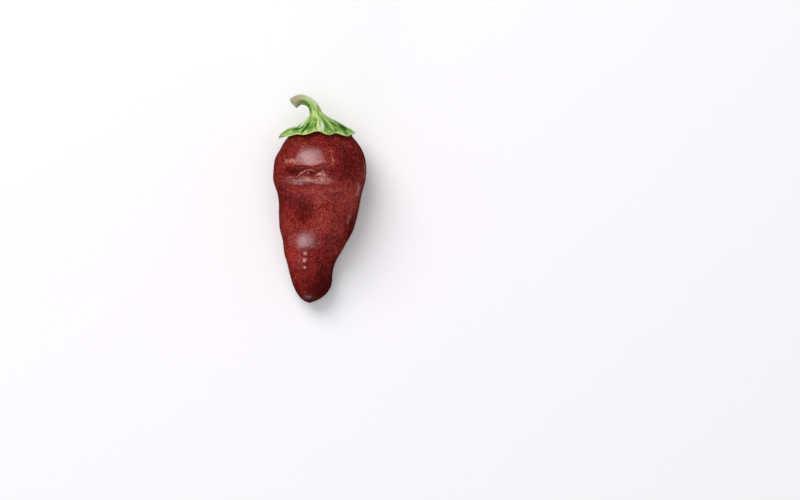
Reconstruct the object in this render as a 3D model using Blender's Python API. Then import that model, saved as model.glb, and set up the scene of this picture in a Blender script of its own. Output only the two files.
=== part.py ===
"""Sweet chocolate pepper as picked: one tapered pod with its calyx and hooked stem, lying on its side.

+Y runs from the tip to the stem, +X to the right of someone looking down on it, and +Z up from the
surface that it lies on. The pod is shaped by two outlines, one from above and one from the side, with
three lobes in its cross-section. The calyx is a hat with ten teeth, which flares out of the stem.
"""

from math import acos, atan2, cos, degrees, exp, pi, radians, sin, tau

import bmesh
import bpy
import numpy as np
from mathutils import Vector

MM = 0.001

# Pod, in millimetres. Each station is (distance below the pod's top, left edge, right edge, underside,
# upper side): the edges are seen from above, and the last two are heights over the surface. An underside
# below 0 is where the pod's own weight presses it flat.
POD_STATIONS = (
    (0.0, 0.6, 0.6, 27.0, 27.0),
    (0.5, -4.2, 5.4, 22.6, 31.6),
    (1.9, -9.6, 10.8, 17.6, 36.6),
    (4.4, -14.4, 16.0, 12.8, 41.0),
    (7.8, -18.0, 19.4, 9.0, 44.2),
    (13.2, -22.0, 23.8, 4.2, 47.6),
    (20.4, -26.6, 27.2, 0.1, 50.8),
    (27.6, -28.2, 27.9, -0.9, 52.2),
    (34.8, -28.0, 26.8, -0.9, 50.4),
    (40.8, -26.0, 25.4, -0.2, 48.0),
    (52.8, -25.0, 23.0, 0.9, 45.4),
    (62.4, -24.4, 20.2, 0.5, 41.8),
    (70.8, -23.0, 16.0, -0.6, 36.4),
    (81.6, -21.0, 9.6, -0.8, 28.8),
    (90.0, -19.0, 7.2, -0.2, 24.4),
    (96.6, -17.0, 6.4, 1.0, 21.4),
    (102.0, -14.2, 3.2, 3.2, 18.0),
    (106.2, -10.4, -2.8, 6.8, 14.2),
    (107.8, -6.8, -6.8, 10.2, 10.2),
)
POD_SEGMENTS = 56
POD_RINGS = 48
LOBES = 3
LOBE_SHARE = 0.055
LOBE_CREST = radians(94)
LOBE_TWIST = radians(9)
SETTLED = 0.25

# Swells and hollows of the pod's wall: (distance below the top, angle, half length, half width, rise).
# The angle is in degrees, 0 to the right and 90 at the upper side.
POD_RELIEF = (
    (29.8, 101.0, 2.6, 13.0, -1.3),
    (35.2, 103.0, 2.6, 13.5, 0.8),
    (50.0, 114.0, 8.0, 7.5, -1.5),
    (71.0, 107.0, 7.0, 7.0, 1.3),
    (18.0, 44.0, 9.0, 4.0, -0.9),
    (84.0, 52.0, 15.0, 3.2, -1.0),
    (60.0, 158.0, 17.0, 4.0, -0.9),
    (26.0, 205.0, 8.0, 6.0, -1.1),
    (46.0, 330.0, 12.0, 5.0, -1.2),
    (76.0, 222.0, 12.0, 4.0, 0.8),
    (88.0, 320.0, 9.0, 4.0, 0.7),
)

# Stem, in millimetres from the middle of the pod's top: (to the right, away from the tip, up, radius).
STEM_ROUTE = (
    (-3.1, 6.2, 0.0, 3.9),
    (-4.3, 9.7, 0.2, 3.1),
    (-6.8, 12.8, 0.7, 2.65),
    (-10.3, 14.4, 1.3, 2.7),
    (-13.7, 13.9, 2.1, 2.95),
    (-16.1, 12.0, 2.7, 3.3),
)
STEM_RIDGES = 5
STEM_RIDGE_SHARE = 0.06
STEM_RINGS = 14
CUT_BEVEL = 0.35
CUT_RINGS = (0.45, 0.86)

# Calyx, in millimetres: the hat's outer surface as (radius, height over the pod's top), and its edge as
# (angle in degrees, reach, height), a tooth and then the notch beside it. Its middle is a little to the
# left of the pod's, and it leans over to the stem.
HAT_MIDDLE = -1.2
HAT_PROFILE = (
    (3.9, 6.2),
    (5.4, 4.2),
    (8.8, 2.1),
    (12.4, 0.0),
    (16.8, -2.4),
    (20.6, -4.6),
    (22.4, -6.4),
)
HAT_EDGE = (
    (0, 21.8, -5.1),
    (15, 20.2, -5.3),
    (44, 21.7, -7.2),
    (60, 20.2, -5.9),
    (71, 21.8, -7.1),
    (89, 19.2, -4.8),
    (109, 22.0, -6.9),
    (127, 21.0, -6.5),
    (145, 22.9, -7.8),
    (164, 21.6, -6.8),
    (180, 24.2, -7.9),
    (200, 20.8, -6.2),
    (221, 22.6, -7.8),
    (240, 20.2, -5.8),
    (259, 22.2, -7.6),
    (278, 19.8, -5.5),
    (297, 21.8, -7.4),
    (315, 19.8, -5.6),
    (334, 21.8, -7.0),
    (349, 20.2, -5.0),
)
HAT_RINGS = 9
HAT_SEGMENTS = 60
EDGE_THICKNESS = 1.1
EDGE_ROUNDING = 0.975
CROWN_THICKNESS = 2.4
UNDER_RINGS = 7
RIB_RISE = 0.55
HAT_GAP = 0.4

HALVINGS = 18
POD_BROWN = (0.20, 0.023, 0.019, 1.0)
CALYX_GREEN = (0.18, 0.36, 0.055, 1.0)


def clear_scene():
    for thing in list(bpy.data.objects):
        bpy.data.objects.remove(thing)


class Spline:
    """A smooth curve through rows of values at the knots, with no bend at its two ends."""

    def __init__(self, knots, values):
        self.knots = knots
        self.values = values
        self.step = np.diff(knots)
        slope = np.diff(values, axis=0) / self.step[:, None]
        matrix = np.eye(len(knots))
        right = np.zeros_like(values)
        for i in range(1, len(knots) - 1):
            before, after = self.step[i - 1], self.step[i]
            matrix[i, i - 1 : i + 2] = before, 2 * (before + after), after
            right[i] = 6 * (slope[i] - slope[i - 1])
        self.bend = np.linalg.solve(matrix, right)

    def __call__(self, where):
        i = int(np.clip(np.searchsorted(self.knots, where) - 1, 0, len(self.step) - 1))
        before, after, h = where - self.knots[i], self.knots[i + 1] - where, self.step[i]
        near = self.bend[i] * after**3 + self.bend[i + 1] * before**3
        left = (self.values[i] - self.bend[i] * h * h / 6) * after
        right = (self.values[i + 1] - self.bend[i + 1] * h * h / 6) * before
        return near / (6 * h) + (left + right) / h


def travelled(points):
    """How far along a line of points each one is, from 0 to 1."""
    legs = np.linalg.norm(np.diff(points, axis=0), axis=1)
    reached = np.concatenate([[0.0], np.cumsum(legs)])
    return reached / reached[-1]


def ease(low, high, value):
    """0 below low, 1 above high, and smooth between."""
    share = min(max((value - low) / (high - low), 0.0), 1.0)
    return share * share * (3 - 2 * share)


def angles(count):
    return [tau * i / count for i in range(count)]


def stretched(values, low, high):
    """The values, stretched to run from low to high."""
    least, most = min(values), max(values)
    return [low + (value - least) / (most - least) * (high - low) for value in values]


def solve(is_low, low, high):
    """The value between low and high where is_low turns false."""
    for _ in range(HALVINGS):
        middle = (low + high) / 2
        if is_low(middle):
            low = middle
        else:
            high = middle
    return low


STATIONS = np.array(POD_STATIONS)
HALF_WIDTHS = (STATIONS[:, 2] - STATIONS[:, 1]) / 2
POD_OUTLINE = Spline(travelled(np.stack([STATIONS[:, 0], HALF_WIDTHS], axis=1)), STATIONS)
POD_TOP = Vector((STATIONS[0, 1], -STATIONS[0, 0], STATIONS[0, 3]))
POD_TIP = Vector((STATIONS[-1, 1], -STATIONS[-1, 0], STATIONS[-1, 3]))

ROUTE = np.array(STEM_ROUTE)
STEM_LINE = Spline(travelled(ROUTE[:, :3]), ROUTE)
PROFILE = np.array(HAT_PROFILE)
HAT_LINE = Spline(travelled(PROFILE), PROFILE)
EDGE = np.array(HAT_EDGE, float)
EDGE_TURNS = np.concatenate([EDGE - (360, 0, 0), EDGE, EDGE + (360, 0, 0)])
EDGE_LINE = Spline(EDGE_TURNS[:, 0], EDGE_TURNS[:, 1:])


def pod_relief(down, angle, radius):
    rise = 0.0
    for at, direction, half_length, half_width, height in POD_RELIEF:
        turn = (angle - radians(direction) + pi) % tau - pi
        rise += height * exp(-(((down - at) / half_length) ** 2) - (turn * radius / half_width) ** 2)
    return rise


def settled(height):
    """The underside pressed flat where it meets the surface, with a short rounding to the rest."""
    if height <= -SETTLED:
        return 0.0
    if height >= SETTLED:
        return height
    return (height + SETTLED) ** 2 / (4 * SETTLED)


def pod_ring(share):
    """A lobed ring of the pod at a share of the way to the tip, fitted between its four edges."""
    down, left, right, under, over = POD_OUTLINE(share)
    lobe = LOBE_SHARE * ease(0.03, 0.25, share) * (1 - ease(0.86, 1.0, share))
    crest = LOBE_CREST + LOBE_TWIST * share
    turns = angles(POD_SEGMENTS)
    swells = [1 + lobe * cos(LOBES * (angle - crest)) for angle in turns]
    across = stretched([swell * cos(angle) for swell, angle in zip(swells, turns)], left, right)
    up = stretched([swell * sin(angle) for swell, angle in zip(swells, turns)], under, over)
    radius = (right - left + over - under) / 4
    ring = []
    for x, z, angle in zip(across, up, turns):
        relief = pod_relief(down, angle, radius) * ease(0.0, 0.12, share)
        ring.append(Vector((x + relief * cos(angle), -down, settled(z + relief * sin(angle)))))
    return ring


def dome_below(x, z):
    """How far below its top the pod's dome is, at a point seen along the stem."""

    def outside(share):
        _, left, right, under, over = POD_OUTLINE(share)
        along = (x - (left + right) / 2) / ((right - left) / 2)
        upwards = (z - (under + over) / 2) / ((over - under) / 2)
        return along**2 + upwards**2 > 1

    return POD_OUTLINE(solve(outside, 0.001, 0.4))[0]


def stem_frame(share):
    """The stem's middle at a share of its route, the two directions across it, and its radius."""
    *centre, radius = STEM_LINE(share)
    centre = Vector(centre)
    ahead = (Vector(STEM_LINE(share + 0.01)[:3]) - centre).normalized()
    across = ahead.cross(Vector((0, 0, 1))).normalized()
    return centre, across, across.cross(ahead), radius


def stem_ring(share):
    centre, across, up, radius = stem_frame(share)
    ridges = STEM_RIDGE_SHARE * ease(0.0, 0.2, share)
    ring = []
    for angle in angles(HAT_SEGMENTS):
        outwards = across * cos(angle) + up * sin(angle)
        ring.append(POD_TOP + centre + outwards * radius * (1 + ridges * cos(STEM_RIDGES * angle)))
    return ring


def edge_at(angle):
    """The hat's edge at an angle round its middle: its reach and its height over the pod's top."""
    return EDGE_LINE(degrees(angle) % 360)


def hat_point(share, angle):
    """The hat's radius and height at a share of the way from the stem to the edge."""
    radius, height = HAT_LINE(share)
    reach, edge_height = edge_at(angle)
    pull = ease(0.25, 1.0, share) ** 1.5
    radius += (reach - PROFILE[-1, 0]) * pull
    height += (edge_height - PROFILE[-1, 1]) * pull
    tooth = np.clip((reach - EDGE[:, 1].mean()) / 1.5, -1, 1)
    height += RIB_RISE * tooth * ease(0.05, 0.45, share) * (1 - ease(0.6, 1.0, share))
    return radius, height


def hat_ring(share):
    """A ring of the hat: square to the stem where it leaves it, and level further out."""
    start, across, up, _ = stem_frame(0.0)
    across = across.lerp(Vector((1, 0, 0)), ease(0.0, 0.28, share)).normalized()
    lean = start.x + (HAT_MIDDLE - start.x) * ease(0.0, 0.3, share)
    ring = []
    for angle in angles(HAT_SEGMENTS):
        radius, height = hat_point(share, angle)
        outwards = across * cos(angle) + up * sin(angle)
        ring.append(POD_TOP + Vector((lean, height, 0)) + outwards * radius)
    return ring


def from_middle(radius, height, angle):
    """A point round the hat's middle, at a height over the pod's top."""
    return POD_TOP + Vector((HAT_MIDDLE + radius * cos(angle), height, radius * sin(angle)))


def rim_ring():
    """The rounded edge of the hat, half way through its thickness."""
    ring = []
    for angle in angles(HAT_SEGMENTS):
        reach, height = edge_at(angle)
        ring.append(from_middle(reach, height - EDGE_THICKNESS / 2, angle))
    return ring


def under_point(share, angle):
    """The underside of the calyx: it lies on the pod's dome, and its brim stands clear."""
    radius = edge_at(angle)[0] * share
    above = solve(lambda where: hat_point(where, angle)[0] < radius, 0.0, 1.0)
    thickness = CROWN_THICKNESS + (EDGE_THICKNESS - CROWN_THICKNESS) * ease(0.5, 1.0, share)
    place = from_middle(radius, 0.0, angle)
    dome = HAT_GAP - dome_below(place.x, place.z)
    return from_middle(radius, max(hat_point(above, angle)[1] - thickness, dome), angle)


def skin(name, first, rings, last):
    """One closed mesh over rings of points, ending in a point on either side.

    Seen from its first point the rings run clockwise, against the sphere's, so its faces are turned.
    """
    mesh = bmesh.new()
    around, along = len(rings[0]), len(rings) + 1
    bmesh.ops.create_uvsphere(mesh, u_segments=around, v_segments=along, radius=1)
    for corner in mesh.verts:
        ring = round(acos(max(-1.0, min(1.0, corner.co.z))) / pi * along)
        turn = round(atan2(corner.co.y, corner.co.x) / tau * around) % around
        if ring == 0:
            corner.co = first
        elif ring == along:
            corner.co = last
        else:
            corner.co = rings[ring - 1][turn]
    bmesh.ops.reverse_faces(mesh, faces=mesh.faces)
    bmesh.ops.scale(mesh, vec=(MM, MM, MM), verts=mesh.verts)
    data = bpy.data.meshes.new(name)
    mesh.to_mesh(data)
    mesh.free()
    data.shade_smooth()
    return bpy.data.objects.new(name, data)


def make_pod():
    rings = [pod_ring(i / POD_RINGS) for i in range(1, POD_RINGS)]
    return skin("pod", POD_TOP, rings, POD_TIP)


def make_calyx_and_stem():
    stem = [stem_ring(1 - i / STEM_RINGS) for i in range(STEM_RINGS)]
    end = sum(stem[0], Vector()) / HAT_SEGMENTS
    before_end = sum(stem[1], Vector()) / HAT_SEGMENTS
    cut_middle = end + (end - before_end).normalized() * CUT_BEVEL
    cut = [[cut_middle + (point - end) * share for point in stem[0]] for share in CUT_RINGS]
    hat = [hat_ring(i / HAT_RINGS) for i in range(HAT_RINGS)]
    rim = [hat_ring(EDGE_ROUNDING), rim_ring()]
    under = [
        [under_point(EDGE_ROUNDING * (1 - i / UNDER_RINGS), angle) for angle in angles(HAT_SEGMENTS)]
        for i in range(UNDER_RINGS)
    ]
    return skin("calyx_and_stem", cut_middle, cut + stem + hat + rim + under, under_point(0.0, 0.0))


def add_material(thing, name, colour, roughness):
    made = bpy.data.materials.new(name)
    made.use_nodes = True
    shader = made.node_tree.nodes["Principled BSDF"]
    shader.inputs["Base Color"].default_value = colour
    shader.inputs["Roughness"].default_value = roughness
    shader.inputs["Metallic"].default_value = 0.0
    thing.data.materials.append(made)


def centre_over_surface(things):
    """Moves the meshes so that the middle of their box, seen from above, is at the origin."""
    corners = np.array([corner.co for thing in things for corner in thing.data.vertices])
    middle = (corners.min(axis=0) + corners.max(axis=0)) / 2
    for thing in things:
        for corner in thing.data.vertices:
            corner.co.x -= middle[0]
            corner.co.y -= middle[1]


def main():
    clear_scene()
    pod = make_pod()
    calyx_and_stem = make_calyx_and_stem()
    add_material(pod, "pod_skin", POD_BROWN, 0.35)
    add_material(calyx_and_stem, "calyx_green", CALYX_GREEN, 0.55)
    centre_over_surface([pod, calyx_and_stem])
    collection = bpy.data.collections.new("sweet_chocolate_pepper")
    bpy.context.scene.collection.children.link(collection)
    collection.objects.link(pod)
    collection.objects.link(calyx_and_stem)


main()
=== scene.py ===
"""Sweet chocolate pepper as picked, lying on its side: its looks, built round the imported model.

Lengths in the tables are millimetres. Places on the pod are measured as in a drawing of it from above:
across to the right, and down from its top to its tip.
"""

from math import cos, pi, radians, sin, tau

import bpy
import numpy as np
from mathutils import Matrix, Vector


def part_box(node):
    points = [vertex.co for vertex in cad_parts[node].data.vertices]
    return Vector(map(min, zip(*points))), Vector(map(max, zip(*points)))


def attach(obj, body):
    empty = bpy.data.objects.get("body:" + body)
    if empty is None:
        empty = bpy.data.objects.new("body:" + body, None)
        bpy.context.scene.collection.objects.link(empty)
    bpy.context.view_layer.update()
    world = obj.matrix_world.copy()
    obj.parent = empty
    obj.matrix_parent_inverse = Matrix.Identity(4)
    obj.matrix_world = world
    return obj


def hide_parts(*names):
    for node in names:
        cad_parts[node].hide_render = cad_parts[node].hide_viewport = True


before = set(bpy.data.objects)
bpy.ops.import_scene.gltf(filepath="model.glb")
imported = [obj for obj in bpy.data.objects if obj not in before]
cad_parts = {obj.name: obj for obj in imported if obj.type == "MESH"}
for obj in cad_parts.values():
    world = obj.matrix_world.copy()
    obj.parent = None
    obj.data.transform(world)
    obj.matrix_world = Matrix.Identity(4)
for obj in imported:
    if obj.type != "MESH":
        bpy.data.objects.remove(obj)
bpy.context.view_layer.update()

bl_info = {
    "name": "Sweet chocolate pepper",
    "version": (1, 0, 0),
    "blender": (4, 5, 0),
    "location": "3D View > Sidebar > Pepper",
    "description": "Builds a sweet brown pepper with its green calyx and hooked stem",
    "category": "Add Mesh",
}

MM = 0.001
TINY = 1e-12
# Points of a mesh that are closer than this become one.
JOINING = 0.0005
# The two colour inputs of a Mix node.
MIX_UNDER = 6
MIX_OVER = 7

# Where the drawing's zero lies in the frame: on the floor, under the pod's top.
POD_BOX = np.array(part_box("pod")) / MM
ZERO = np.array([0.196, POD_BOX[1][1], 0.0])
TOP = ZERO + (0.6, 0.0, 27.0)

# The camera stands over the object, a little to the right of it, and looks straight down. The drawing
# has its true size at the height of the pod's middle.
CAMERA_PLACE = (48.196, -30.389, 1358.8)
CAMERA_LENS = 100.0
CAMERA_REACH = 20000.0
DRAWING_HEIGHT = 27.0

# Ranges over which forms and tones fade in or out.
FADES = {
    # Shares of the way from the pod's top to its tip.
    "furrow start": (0.03, 0.25),
    "furrow end": (0.86, 1.0),
    "relief": (0.0, 0.12),
    # Distances below the pod's top.
    "top": (0.0, 4.0),
    "dark tip": (82.0, 102.0),
    "tip": (106.0, 107.8),
    # Heights over the floor.
    "floor": (0.3, 3.0),
    "upper half": (24.0, 27.5),
    # Upward part of the wall's outward direction.
    "upper side": (-0.1, 0.15),
    # Shares of the way from the stem to the hat's edge.
    "edge": (0.25, 1.0),
    "tooth start": (0.05, 0.45),
    "tooth end": (0.6, 1.0),
    "level": (0.0, 0.28),
    "lean": (0.0, 0.3),
    "brim": (0.5, 1.0),
    "rib start": (0.02, 0.3),
    "rib end": (0.85, 1.0),
    "crown": (0.0, 0.55),
    "pale brim": (0.7, 0.92),
    "margin": (0.95, 0.975),
    # Shares of the way from the hat to the cut along the stem.
    "stem": (0.0, 0.2),
    "striation": (0.0, 0.3),
    "hollow side": (0.0, 0.25),
    "bloom start": (0.05, 0.45),
    "bloom end": (0.5, 0.9),
    "mauve": (0.5, 0.95),
    # How far the stem's wall faces its outer side, or its hollow side.
    "outer": (-0.5, 0.9),
    "hollow": (0.2, 0.9),
    # Shares of the way from the middle of the cut to its edge.
    "pith": (0.3, 0.6),
    "bark": (0.78, 0.95),
    "cut": (0.8, 0.95),
}

# Irregular fields, as waves added up: (length, count, seed). Each wave is this share of the length.
WAVE_LENGTHS = (0.7, 1.5)
WALL_WAVES = (14.0, 18, 3)
BREAK_WAVES = (2.6, 12, 31)
MARGIN_WAVES = (5.0, 12, 61)
# How much the drawn lines waver: (distance, waves across, waves down).
POD_WAVERS = (
    (0.35, (7.0, 12, 11), (7.0, 12, 21)),
    (0.16, (2.4, 12, 12), (2.4, 12, 22)),
)
CALYX_WAVERS = ((0.15, (4.0, 12, 51), (4.0, 12, 52)),)

# Drawn lines: how many steps each has, how thin its ends run out, how many of its widths are shaped, and
# how strong and uneven it is.
LINE_STEPS = 90
LINE_THINNING = 0.6
LINE_REACH = 3.0
LINE_STRENGTH = 0.75
LINE_UNEVENNESS = 0.35

# Pod: (distance below the pod's top, left edge, right edge, underside, upper side).
POD_STATIONS = np.array((
    (0.0, 0.6, 0.6, 27.0, 27.0),
    (0.5, -4.2, 5.4, 22.6, 31.6),
    (1.9, -9.6, 10.8, 17.6, 36.6),
    (4.4, -14.4, 16.0, 12.8, 41.0),
    (7.8, -18.0, 19.4, 9.0, 44.2),
    (13.2, -22.0, 23.8, 4.2, 47.6),
    (20.4, -26.6, 27.2, 0.1, 50.8),
    (27.6, -28.2, 27.9, -0.9, 52.2),
    (34.8, -28.0, 26.8, -0.9, 50.4),
    (40.8, -26.0, 25.4, -0.2, 48.0),
    (52.8, -25.0, 23.0, 0.9, 45.4),
    (62.4, -24.4, 20.2, 0.5, 41.8),
    (70.8, -23.0, 16.0, -0.6, 36.1),
    (81.6, -21.0, 9.6, -0.8, 28.4),
    (90.0, -19.0, 7.2, -0.2, 24.5),
    (96.6, -17.0, 6.4, 1.0, 21.7),
    (102.0, -14.2, 3.2, 3.2, 19.75),
    (104.4, -12.5, 0.3, 4.8, 18.3),
    (106.2, -10.4, -2.8, 6.8, 15.4),
    (107.8, -6.8, -6.8, 10.2, 10.2),
))
POD_COLUMNS = 312
POD_ROWS = 300
# The columns stand closer along the upper side, and the rows where the folds are: (how much closer,
# distance below the top, spread).
UPPER_CROWDING = 0.35
FOLD_CROWDING = (0.9, 27.0, 13.0)
CROWDING_STEPS = 1201
# Three broad lobes with a narrow furrow between each two, which turns a little on its way to the tip.
FURROWS = (radians(40), radians(160), radians(280))
FURROW_TWIST = radians(9)
FURROW_SHARE = 0.065
FURROW_HALF_WIDTH = 0.42
# The lowest part of the wall is pressed flat, with a rounding of this height.
SETTLED = 0.25

# Swells and hollows of the wall: (distance below the top, angle, half length, half width, rise).
# The angle is in degrees, 0 to the right and 90 at the upper side.
POD_RELIEF = (
    (50.0, 114.0, 8.0, 7.5, -1.2),
    (66.8, 107.0, 5.0, 9.0, 0.25),
    (75.0, 107.0, 3.5, 8.0, -0.32),
    (18.0, 44.0, 9.0, 4.0, -0.9),
    (84.0, 52.0, 15.0, 3.2, -1.0),
    (26.0, 205.0, 8.0, 6.0, -1.1),
    (46.0, 330.0, 12.0, 5.0, -1.2),
    (76.0, 222.0, 12.0, 4.0, 0.8),
    (88.0, 320.0, 9.0, 4.0, 0.7),
)

# Low swells and hollows, in rows down the wall: (across, down to the first, step, half width, rises). The
# first rows are on the shoulder, and the last four above the tip, where the wall faces the low light.
SKIN_SWELLS = (
    (-18.0, 13.8, 0.0, 7.5, (1.0,)),
    (-12.0, 8.5, 0.0, 7.5, (0.55,)),
    (-20.0, 11.0, 6.0, 6.5, (0.21, -0.31, 0.44, 0.11, -0.1)),
    (-13.5, 5.0, 6.0, 6.5, (-0.46, 0.44, 0.18, -0.41, 0.25, -0.49)),
    (-7.0, 5.0, 6.0, 6.5, (-0.42, -0.35, 0.25, 0.16, 0.15, -0.46)),
    (-0.5, 17.0, 6.0, 6.5, (0.2, -0.51, 0.22)),
    (6.0, 11.0, 6.0, 6.5, (-0.22, 0.36, 0.45, 0.15)),
    (-17.0, 63.0, 5.0, 5.0, (0.1, -0.15, 0.08, 0.27)),
    (-12.0, 63.0, 5.0, 5.0, (0.11, -0.14, 0.25, 0.38)),
    (-7.0, 63.0, 5.0, 5.0, (-0.24, -0.3, -0.22, -0.14)),
    (-2.0, 63.0, 5.0, 5.0, (0.07, -0.17, -0.07, -0.07)),
)

# Folds, which drop on their tip side and rise again, and are painted darker in their hollows as painted
# shade: (depth, half width of the drop, width of the hollow, route of (across, down)). Most of a fold's
# depth is its drop, and the rest a slope beyond it.
SKIN_FOLDS = (
    (0.95, 0.6, 13.0, ((-20.4, 24.6), (-16.2, 25.4), (-10.8, 25.1), (-4.8, 25.6), (0.6, 24.6), (3.6, 23.4))),
    (0.22, 0.4, 1.6, ((-20.0, 36.4), (-15.0, 35.6), (-10.0, 36.4), (-4.6, 35.0))),
    (0.25, 0.4, 1.6, ((-5.4, 34.6), (-1.0, 35.6), (3.0, 35.2), (7.0, 34.0))),
    (0.22, 0.4, 2.0, ((3.4, 39.8), (6.4, 40.2), (9.0, 41.6), (11.4, 40.2), (13.6, 40.9))),
)
FOLD_DROP = 0.6
FOLD_SLOPE = 0.35
# How strongly each fold's hollow is painted darker, as painted shade.
PAINTED_FOLD_SHADE = 0.35

# Welts of wrinkled skin, with a gentle side towards the top and a steep one towards the tip: (rise,
# width of the gentle side, width of the steep side, route of (across, down)).
SKIN_WELTS = (
    (0.7, 5.5, 1.2, ((-22.4, 32.4), (-16.0, 33.4), (-10.0, 33.0), (-4.9, 33.8))),
    (0.7, 5.0, 1.2, ((-4.3, 34.0), (0.6, 32.6), (4.0, 33.0), (8.4, 31.8))),
)
WELT_REACH = 2.5

# Raised lines of the skin, painted pale as painted highlights along their crests: (half width, rise,
# paleness, route of (across, down)).
SKIN_LINES = (
    (0.42, 0.12, 1.0,
     ((-15.2, 32.2), (-12.6, 30.8), (-10.6, 29.4), (-8.6, 28.4), (-5.6, 27.8), (-3.4, 28.9))),
    (0.7, 0.18, 1.1, ((-3.4, 31.2), (-0.6, 30.2), (2.4, 30.6), (5.4, 30.9))),
    (0.5, 0.14, 0.9, ((0.0, 30.0), (1.2, 29.4), (2.1, 28.2), (2.9, 29.4), (3.8, 30.2))),
    (0.6, 0.22, 0.48, ((6.8, 18.4), (7.7, 20.4), (7.9, 22.4), (7.2, 25.2))),
    (0.45, 0.12, 0.28, ((6.2, 14.6), (6.8, 16.6), (7.2, 18.6))),
    (1.1, 0.3, 0.85, ((-20.8, 22.8), (-17.4, 22.2), (-13.4, 23.4))),
    (0.45, 0.16, 0.28, ((3.4, 39.2), (6.4, 39.6), (9.0, 41.0), (11.4, 39.6), (13.6, 40.3))),
    (0.4, 0.12, 0.15, ((6.6, 43.2), (9.6, 44.0), (12.6, 43.0))),
    (0.95, 0.3, 0.7, ((23.6, 35.0), (23.2, 38.8), (22.0, 43.8))),
    (0.75, 0.15, 0.5, ((26.3, 21.4), (27.0, 26.0), (26.6, 33.4))),
    (0.7, 0.25, 0.5, ((19.4, 51.4), (18.4, 55.2), (16.4, 60.4))),
    (0.4, 0.15, 0.18, ((17.6, 54.0), (16.6, 57.2), (15.0, 60.4))),
    (0.4, 0.1, 0.55, ((-20.4, 32.7), (-18.0, 31.9), (-14.6, 32.2))),
    (0.45, 0.1, 0.5, ((-20.4, 33.2), (-20.3, 34.8), (-17.8, 36.0))),
    (0.4, 0.1, 0.6, ((-17.2, 35.8), (-13.8, 36.3), (-10.8, 35.5))),
    (0.45, 0.14, 0.75, ((-12.4, 31.8), (-8.4, 32.6), (-6.0, 33.7), (-2.6, 35.2))),
    (0.35, 0.1, 0.5, ((-17.4, 33.7), (-13.8, 33.9), (-10.0, 33.4))),
    (0.4, 0.12, 0.65, ((-3.2, 34.6), (-0.6, 32.7), (2.2, 32.4), (4.8, 33.2), (7.6, 34.6))),
    (0.4, 0.12, 0.65, ((-2.4, 35.0), (1.0, 35.8), (4.2, 35.6), (7.2, 34.2))),
)

# Soft swells and tones of the skin: (across, down, half across, half down, turn in degrees, strengths). Most
# of the darks are painted shade, in the fold, the lobes' notches, the hollow, under the three glints and
# down the right side, and more darken the skin towards the tip. A dark below 0 is a lighter place, painted
# light. The pale ones are painted highlights, and the red one at the lower left is a painted glow.
SKIN_TONES = ("pale", "dark", "red", "dull", "streaked")
SKIN_PATCHES = (
    # Painted shade in the fold under the shoulder.
    (-10.0, 28.6, 10.5, 2.3, 2.0, {"dark": 0.6}),
    (-15.6, 28.0, 4.2, 2.6, 0.0, {"dark": 0.5}),
    # The two lobes, painted pale as painted highlights, with painted shade in their notches, and a painted
    # highlight on the arc.
    (-12.6, 34.2, 7.0, 1.7, -1.0, {"pale": 0.28, "dull": 0.2}),
    (-14.4, 34.9, 2.2, 0.5, 0.0, {"dark": 0.8}),
    (1.6, 33.9, 4.8, 1.8, 2.0, {"pale": 0.5, "dull": 0.2}),
    (3.7, 33.4, 1.2, 0.6, 0.0, {"dark": 0.5}),
    (-7.5, 30.2, 0.6, 0.5, 0.0, {"pale": 0.5}),
    # Painted shade on the right of the shoulder.
    (18.0, 20.5, 9.0, 11.0, 0.0, {"dark": 0.5}),
    (13.0, 29.0, 8.0, 5.0, 0.0, {"dark": 0.2}),
    # Painted shade in the hollow.
    (-11.4, 49.4, 8.4, 6.0, 20.0, {"dark": 0.9}),
    (-8.6, 56.4, 4.4, 2.8, 0.0, {"dark": 0.5}),
    (-23.0, 46.0, 4.0, 9.0, 0.0, {"dark": 0.25}),
    (0.0, 9.0, 16.0, 4.0, 0.0, {"dark": 0.25}),
    # Painted light on the right side.
    (17.0, 42.0, 8.0, 12.0, 0.0, {"dark": -0.35}),
    (2.0, 61.0, 12.0, 7.0, 0.0, {"dark": -0.3}),
    (-1.0, 79.0, 4.5, 8.5, 0.0, {"dark": 0.1, "red": 0.3, "streaked": 1.0}),
    # A painted glow, lighter and redder, at the lower left.
    (-17.0, 79.4, 5.0, 7.0, 0.0, {"dark": -0.1, "red": 0.6}),
    (5.0, 38.0, 14.0, 5.0, 0.0, {"red": 0.3}),
    (-2.0, 41.0, 16.0, 7.0, 0.0, {"pale": 0.07}),
    # A painted highlight on the lower swell, then three small glints, each a painted highlight with a
    # painted shadow under it.
    (-10.0, 69.8, 5.6, 4.0, 0.0, {"pale": 0.16}),
    (-9.3, 77.6, 0.95, 0.75, 0.0, {"rise": 0.25, "pale": 1.5}),
    (-8.7, 78.8, 1.2, 0.45, 0.0, {"dark": 0.7}),
    (-9.3, 81.5, 0.95, 0.75, 0.0, {"rise": 0.25, "pale": 1.5}),
    (-8.7, 82.7, 1.2, 0.45, 0.0, {"dark": 0.7}),
    (-9.2, 85.6, 0.95, 0.75, 0.0, {"rise": 0.25, "pale": 1.5}),
    (-8.6, 86.8, 1.2, 0.45, 0.0, {"dark": 0.7}),
    # Painted shade down the right side, then darker towards the tip.
    (18.4, 62.0, 3.4, 9.0, 16.0, {"dark": 0.6}),
    (4.0, 94.0, 5.6, 15.0, 14.0, {"dark": 0.95}),
    (-9.0, 97.0, 16.0, 13.0, 0.0, {"dark": 0.2}),
    (-5.0, 104.0, 13.0, 10.0, 0.0, {"dark": 0.65}),
    (-6.5, 104.6, 6.0, 2.4, 0.0, {"dark": 0.35, "red": 0.1, "dull": 0.55}),
)

# Patterns of the skin: (width of a fleck, detail, weight). The stipple stands for the cells of the skin,
# and is drawn wider than they are, because finer ones don't show.
SKIN_PATTERNS = {
    "blotches": (13.0, 3.0, 0.5),
    "mottling": (3.0, 3.0, 0.8),
    "stipple": (0.65, 2.0, 2.6),
}
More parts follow.
